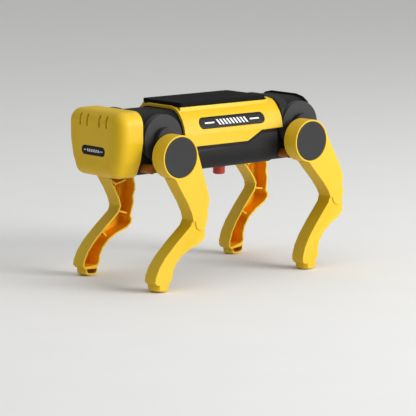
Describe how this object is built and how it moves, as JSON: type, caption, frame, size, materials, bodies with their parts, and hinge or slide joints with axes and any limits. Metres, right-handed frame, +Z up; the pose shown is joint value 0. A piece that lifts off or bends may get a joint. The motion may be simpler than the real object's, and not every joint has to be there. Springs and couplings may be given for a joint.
{
  "type": "walking robot dog toy",
  "caption": "Battery-driven four-legged walking robot toy with a boxy head, a back cover and hollow bent legs on crank pins.",
  "frame": {"origin": "on the ground, in the middle of the overall box", "axes": "+X towards the head, +Y to the dog's left, +Z up"},
  "size_m": [0.1168, 0.058, 0.0767],
  "materials": {
    "yellow_abs": "moulded ABS, satin gloss",
    "black_abs": "moulded ABS, fine texture",
    "dark_grey_abs": "moulded ABS, satin",
    "label_black": "printed plate",
    "red_abs": "moulded ABS",
    "amber_abs": "moulded ABS",
    "white_acetal": "moulded acetal",
    "grey_abs": "moulded ABS",
    "brass": "turned",
    "cell_jacket": "shrink-wrapped jacket",
    "steel": "plated"
  },
  "bodies": {
    "chassis": {"lower_shell": "black_abs", "upper_shell": "black_abs", "body_cover": "yellow_abs", "battery_door": "black_abs", "battery_tray": "grey_abs", "battery_cells": "cell_jacket", "contact_springs": "steel", "contact_plates": "steel", "gear_plate": "white_acetal", "idler_pins": "steel", "motor_can": "steel", "gearbox_case": "brass", "axle_bushes": "brass", "hip_covers": "dark_grey_abs", "guide_pegs": "amber_abs", "head_shell": "yellow_abs", "head_screws": "steel", "head_label": "label_black", "side_labels": "label_black", "switch_body": "white_acetal", "button_spring": "steel", "belly_screws": "steel"},
    "front_crankset": {"front_axle": "steel", "front_axle_gear": "white_acetal", "front_cranks": "dark_grey_abs", "front_crank_screws": "steel"},
    "rear_crankset": {"rear_axle": "steel", "rear_axle_gear": "white_acetal", "rear_cranks": "dark_grey_abs", "rear_crank_screws": "steel"},
    "front_left_limb": {"front_left_leg": "yellow_abs", "front_left_cap": "dark_grey_abs"},
    "front_right_limb": {"front_right_leg": "yellow_abs", "front_right_cap": "dark_grey_abs"},
    "rear_left_limb": {"rear_left_leg": "yellow_abs", "rear_left_cap": "dark_grey_abs"},
    "rear_right_limb": {"rear_right_leg": "yellow_abs", "rear_right_cap": "dark_grey_abs"},
    "idler_1": {"idler_gear_1": "white_acetal"},
    "idler_2": {"idler_gear_2": "white_acetal"},
    "idler_3": {"idler_gear_3": "white_acetal"},
    "idler_4": {"idler_gear_4": "white_acetal"},
    "idler_5": {"idler_gear_5": "white_acetal"},
    "pinion": {"motor_pinion": "brass"},
    "button": {"power_button": "red_abs"}
  },
  "joints": [
    {"name": "crank_front", "type": "hinge", "parent": "chassis", "child": "front_crankset", "pos_m": [0.0349, 0, 0.0631], "axis": [0, 1, 0], "continuous": true},
    {"name": "crank_rear", "type": "hinge", "parent": "chassis", "child": "rear_crankset", "pos_m": [-0.0421, 0, 0.0631], "axis": [0, 1, 0], "continuous": true},
    {"name": "front_left_hip", "type": "hinge", "parent": "front_crankset", "child": "front_left_limb", "pos_m": [0.03454, 0, 0.05621], "axis": [0, 1, 0], "continuous": true},
    {"name": "front_right_hip", "type": "hinge", "parent": "front_crankset", "child": "front_right_limb", "pos_m": [0.03454, 0, 0.05621], "axis": [0, 1, 0], "continuous": true},
    {"name": "rear_left_hip", "type": "hinge", "parent": "rear_crankset", "child": "rear_left_limb", "pos_m": [-0.03891, 0, 0.05698], "axis": [0, 1, 0], "continuous": true},
    {"name": "rear_right_hip", "type": "hinge", "parent": "rear_crankset", "child": "rear_right_limb", "pos_m": [-0.03891, 0, 0.05698], "axis": [0, 1, 0], "continuous": true},
    {"name": "idler_1_spin", "type": "hinge", "parent": "chassis", "child": "idler_1", "pos_m": [-0.0296, 0, 0.0631], "axis": [0, 1, 0], "continuous": true},
    {"name": "idler_2_spin", "type": "hinge", "parent": "chassis", "child": "idler_2", "pos_m": [-0.0166, 0, 0.0631], "axis": [0, 1, 0], "continuous": true},
    {"name": "idler_3_spin", "type": "hinge", "parent": "chassis", "child": "idler_3", "pos_m": [-0.0036, 0, 0.0631], "axis": [0, 1, 0], "continuous": true},
    {"name": "idler_4_spin", "type": "hinge", "parent": "chassis", "child": "idler_4", "pos_m": [0.0094, 0, 0.0631], "axis": [0, 1, 0], "continuous": true},
    {"name": "idler_5_spin", "type": "hinge", "parent": "chassis", "child": "idler_5", "pos_m": [0.0224, 0, 0.0631], "axis": [0, 1, 0], "continuous": true},
    {"name": "pinion_spin", "type": "hinge", "parent": "chassis", "child": "pinion", "pos_m": [0.0094, 0, 0.0541], "axis": [0, 1, 0], "continuous": true},
    {"name": "power_press", "type": "slide", "parent": "chassis", "child": "button", "axis": [0, 0, 1], "range_m": [0, 0.0015], "stiffness_N_per_m": 400, "deforming": ["button_spring"]}
  ],
  "couplings": [
    {"joint": "crank_rear", "follows": "crank_front", "ratio": 1},
    {"joint": "front_left_hip", "follows": "crank_front", "ratio": -1},
    {"joint": "front_right_hip", "follows": "crank_front", "ratio": -1},
    {"joint": "rear_left_hip", "follows": "crank_front", "ratio": -1},
    {"joint": "rear_right_hip", "follows": "crank_front", "ratio": -1},
    {"joint": "idler_1_spin", "follows": "crank_front", "ratio": -0.92308},
    {"joint": "idler_2_spin", "follows": "crank_front", "ratio": 0.92308},
    {"joint": "idler_3_spin", "follows": "crank_front", "ratio": -0.92308},
    {"joint": "idler_4_spin", "follows": "crank_front", "ratio": 0.92308},
    {"joint": "idler_5_spin", "follows": "crank_front", "ratio": -0.92308},
    {"joint": "pinion_spin", "follows": "crank_front", "ratio": -2.4}
  ]
}
